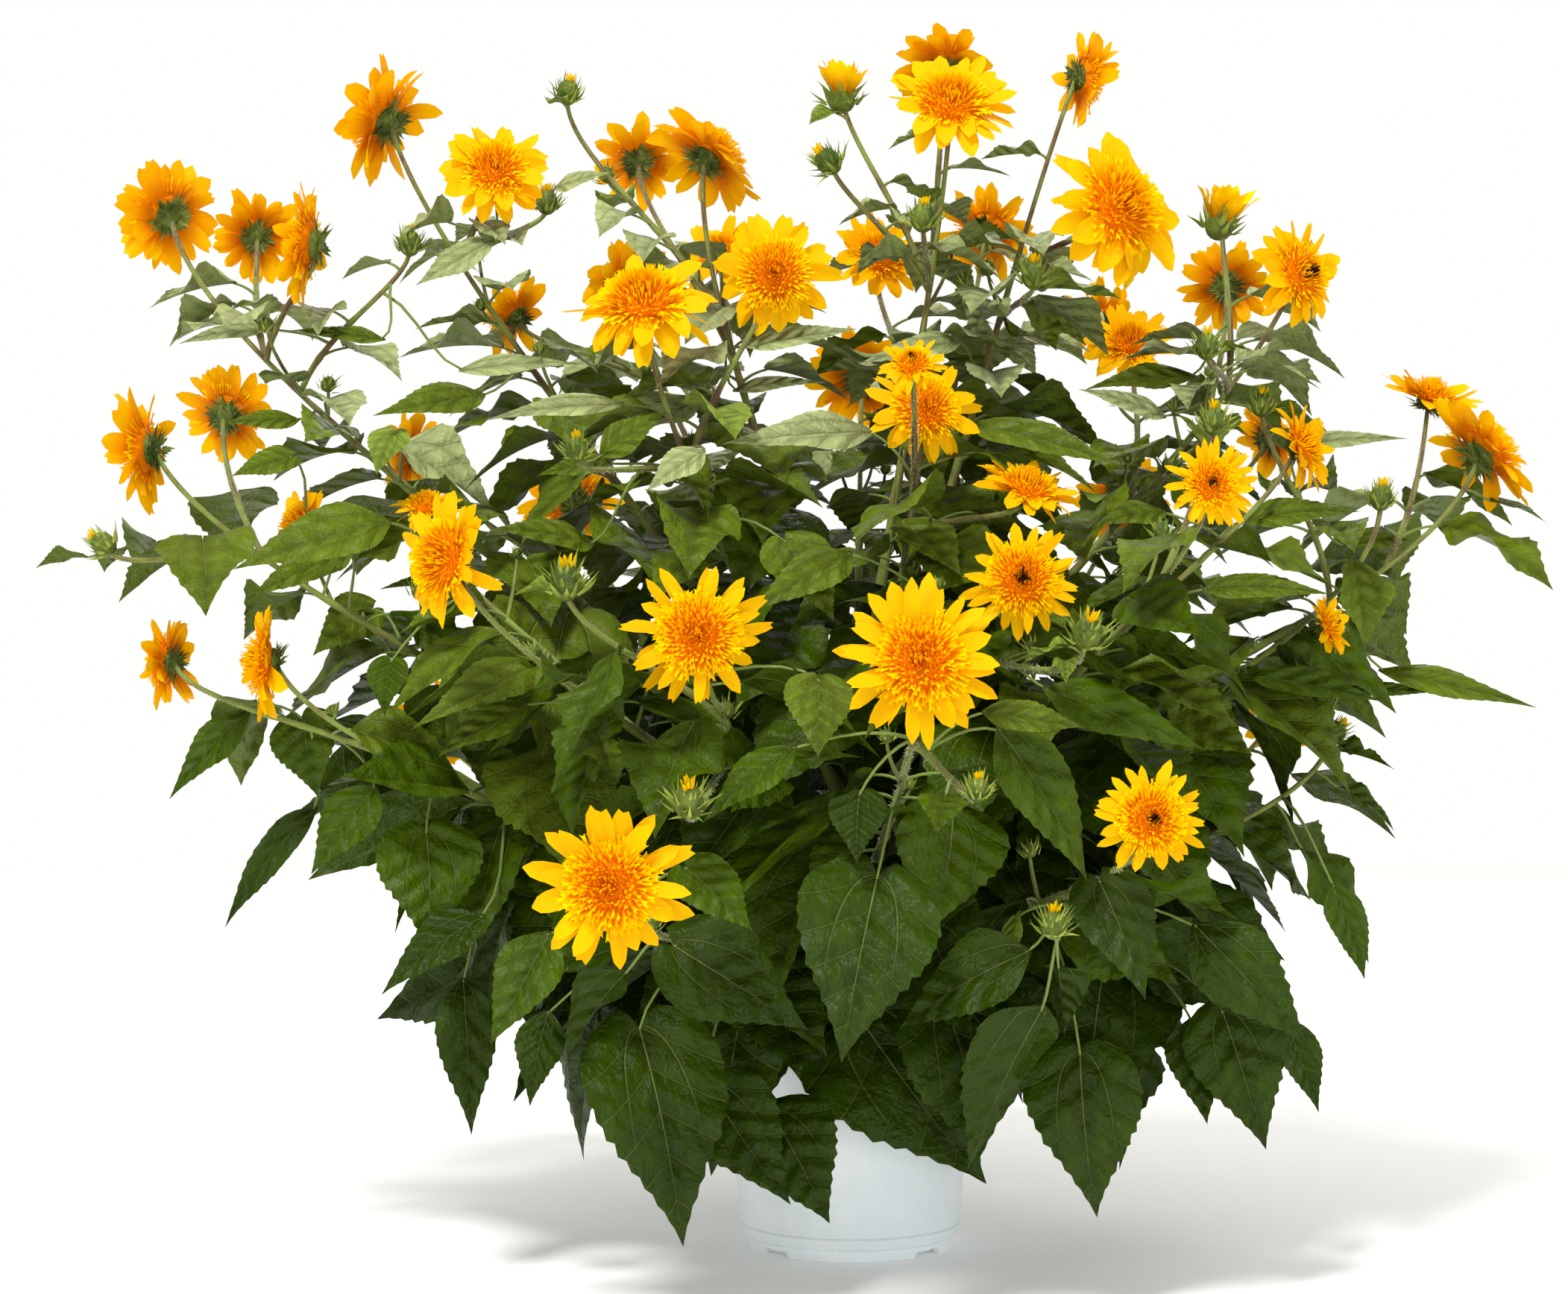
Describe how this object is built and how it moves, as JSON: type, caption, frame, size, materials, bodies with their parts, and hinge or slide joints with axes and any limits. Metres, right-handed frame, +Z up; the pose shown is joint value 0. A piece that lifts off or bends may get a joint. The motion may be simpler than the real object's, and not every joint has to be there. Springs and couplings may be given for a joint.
{
  "type": "potted sunflower plant",
  "caption": "Bushy branching sunflower plant in a round white nursery pot, with many open flowers, buds and drooping leaves.",
  "frame": {"origin": "middle of the pot's flat underside", "axes": "+Z up, -Y to the front of the plant, +X to the right when seen from the front"},
  "size_m": [1.265, 0.9492, 1.0338],
  "materials": {
    "pot": "satin",
    "peat": "matte",
    "stems": "matte",
    "foliage": "matte",
    "petals": "matte"
  },
  "bodies": {
    "root": {"pot": "pot", "peat": "peat", "main_stem": "stems", "shoot_left_low": "stems", "shoot_left": "stems", "shoot_left_high": "stems", "shoot_left_top": "stems", "shoot_top_left": "stems", "shoot_front_left_top": "stems", "shoot_top_right": "stems", "shoot_right_top": "stems", "shoot_right_high": "stems", "shoot_right": "stems", "shoot_front_right": "stems", "shoot_front_right_high": "stems", "shoot_front": "stems", "shoot_front_left": "stems", "shoot_front_left_high": "stems", "shoot_back_left_top": "stems", "shoot_back_left": "stems", "shoot_back": "stems", "shoot_back_right": "stems", "shoot_back_right_top": "stems", "shoot_back_right_low": "stems", "shoot_back_left_low": "stems", "foliage_left_low": "foliage", "foliage_left": "foliage", "foliage_left_high": "foliage", "foliage_left_top": "foliage", "foliage_top_left": "foliage", "foliage_front_left_top": "foliage", "foliage_top": "foliage", "foliage_top_right": "foliage", "foliage_right_top": "foliage", "foliage_right_high": "foliage", "foliage_right": "foliage", "foliage_front_right": "foliage", "foliage_front_right_high": "foliage", "foliage_front": "foliage", "foliage_front_left": "foliage", "foliage_front_left_high": "foliage", "foliage_front_left_low": "foliage", "foliage_front_right_low": "foliage", "foliage_right_low": "foliage", "foliage_back_left_top": "foliage", "foliage_back_left": "foliage", "foliage_back": "foliage", "foliage_back_low": "foliage", "foliage_back_right": "foliage", "foliage_back_right_top": "foliage", "foliage_back_right_low": "foliage", "foliage_back_left_low": "foliage", "skirt_1": "foliage", "skirt_2": "foliage", "skirt_3": "foliage", "skirt_4": "foliage", "skirt_5": "foliage", "skirt_6": "foliage", "skirt_7": "foliage"}
  },
  "joints": []
}
